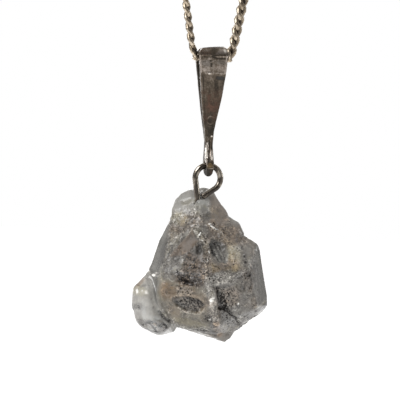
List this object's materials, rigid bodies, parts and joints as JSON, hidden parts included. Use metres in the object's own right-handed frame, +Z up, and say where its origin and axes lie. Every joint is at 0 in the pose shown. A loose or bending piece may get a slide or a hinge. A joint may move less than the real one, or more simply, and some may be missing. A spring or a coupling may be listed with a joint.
{
  "type": "rough quartz crystal pendant on a necklace chain",
  "caption": "Rough double-ended quartz crystal on a bent eye wire, hung from a folded tapered bail that slides on a closed twisted curb chain.",
  "frame": {"origin": "middle of the top of the chain's loop, on the chain's line, inside the clasp, where the necklace hangs", "axes": "+Z up along the hanging necklace, -Y out of the pendant's front, +X to the right of somebody who looks at the front"},
  "size_m": [0.0678, 0.0131, 0.2483],
  "materials": {
    "chain_silver": "worn silver links, warm tarnish between them",
    "clasp_silver": "worn silver, lightly tarnished",
    "bail_silver": "brown tarnished silver with rubbed edges, small pits and scratches",
    "wire_metal": "smooth drawn wire, dull olive grey tarnish",
    "quartz": "cloudy grey quartz with khaki and brown stains, dark inclusions and worn glossy faces"
  },
  "bodies": {
    "necklace": {"chain": "chain_silver", "clasp": "clasp_silver"},
    "bail": {"bail": "bail_silver"},
    "drop": {"eye_wire": "wire_metal", "stone": "quartz"}
  },
  "joints": [
    {"name": "bail_swing", "type": "hinge", "parent": "necklace", "child": "bail", "pos_m": [0, 0, -0.20432], "axis": [1, 0, 0], "range_deg": [-60, 60]},
    {"name": "drop_swing", "type": "hinge", "parent": "bail", "child": "drop", "pos_m": [0, 0, -0.22259], "axis": [0, 1, 0], "range_deg": [-45, 45]}
  ]
}
